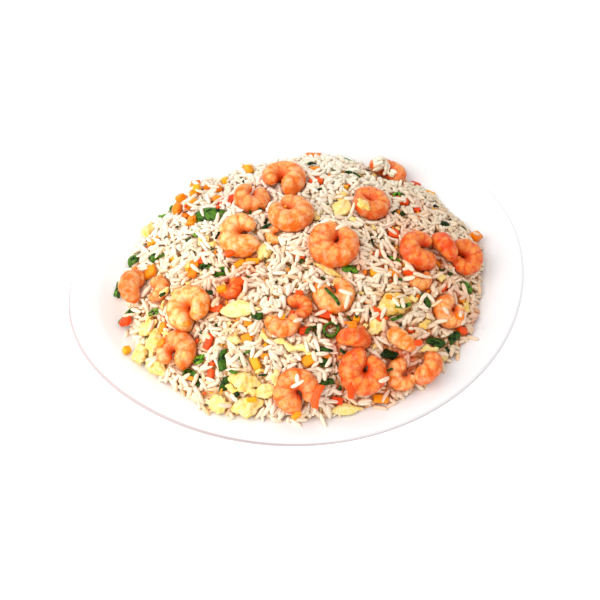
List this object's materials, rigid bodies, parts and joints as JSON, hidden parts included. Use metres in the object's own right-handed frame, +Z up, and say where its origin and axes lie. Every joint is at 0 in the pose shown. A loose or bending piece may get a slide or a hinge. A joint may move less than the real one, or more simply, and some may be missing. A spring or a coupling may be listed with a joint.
{
  "type": "fried rice on an oval platter",
  "caption": "Shrimp fried rice heaped on a white oval platter, with curled peeled shrimps, scrambled egg, scallion pieces and diced carrot and corn in the rice.",
  "frame": {"origin": "on the table under the middle of the platter's outline", "axes": "+X along the platter's long side, towards the right end as seen from the front; +Y to the back; +Z up"},
  "size_m": [0.3051, 0.2366, 0.0626],
  "materials": {
    "glaze": "glossy white glaze, unpatterned",
    "rice": "cooked long-grain rice, soft and slightly oily, with small orange, yellow and green dice in it",
    "shrimp": "cooked peeled shrimp, orange with pale bands, moist",
    "egg": "set scrambled egg, pale yellow, soft satin",
    "scallion": "cooked scallion green, waxy",
    "corn": "moist yellow vegetable bit"
  },
  "bodies": {
    "root": {"platter": "glaze", "rice_heap": "rice", "corn_bit": "corn", "egg_01": "egg", "egg_02": "egg", "egg_03": "egg", "egg_04": "egg", "egg_05": "egg", "egg_06": "egg", "egg_07": "egg", "egg_08": "egg", "egg_09": "egg", "egg_10": "egg", "egg_11": "egg", "egg_12": "egg", "egg_13": "egg", "egg_14": "egg", "egg_15": "egg", "egg_16": "egg", "egg_17": "egg", "scallion_01": "scallion", "scallion_02": "scallion", "scallion_03": "scallion", "scallion_04": "scallion", "scallion_05": "scallion", "scallion_06": "scallion", "scallion_07": "scallion", "scallion_08": "scallion", "scallion_09": "scallion", "scallion_10": "scallion", "scallion_11": "scallion", "scallion_12": "scallion", "scallion_13": "scallion", "shrimp_01": "shrimp", "shrimp_02": "shrimp", "shrimp_03": "shrimp", "shrimp_04": "shrimp", "shrimp_05": "shrimp", "shrimp_06": "shrimp", "shrimp_07": "shrimp", "shrimp_08": "shrimp", "shrimp_09": "shrimp", "shrimp_10": "shrimp", "shrimp_11": "shrimp", "shrimp_12": "shrimp", "shrimp_13": "shrimp", "shrimp_14": "shrimp", "shrimp_15": "shrimp", "shrimp_16": "shrimp", "shrimp_17": "shrimp", "shrimp_18": "shrimp", "shrimp_19": "shrimp", "shrimp_20": "shrimp", "shrimp_21": "shrimp", "shrimp_22": "shrimp", "shrimp_23": "shrimp", "shrimp_24": "shrimp", "shrimp_25": "shrimp", "shrimp_26": "shrimp", "shrimp_27": "shrimp"}
  },
  "joints": []
}
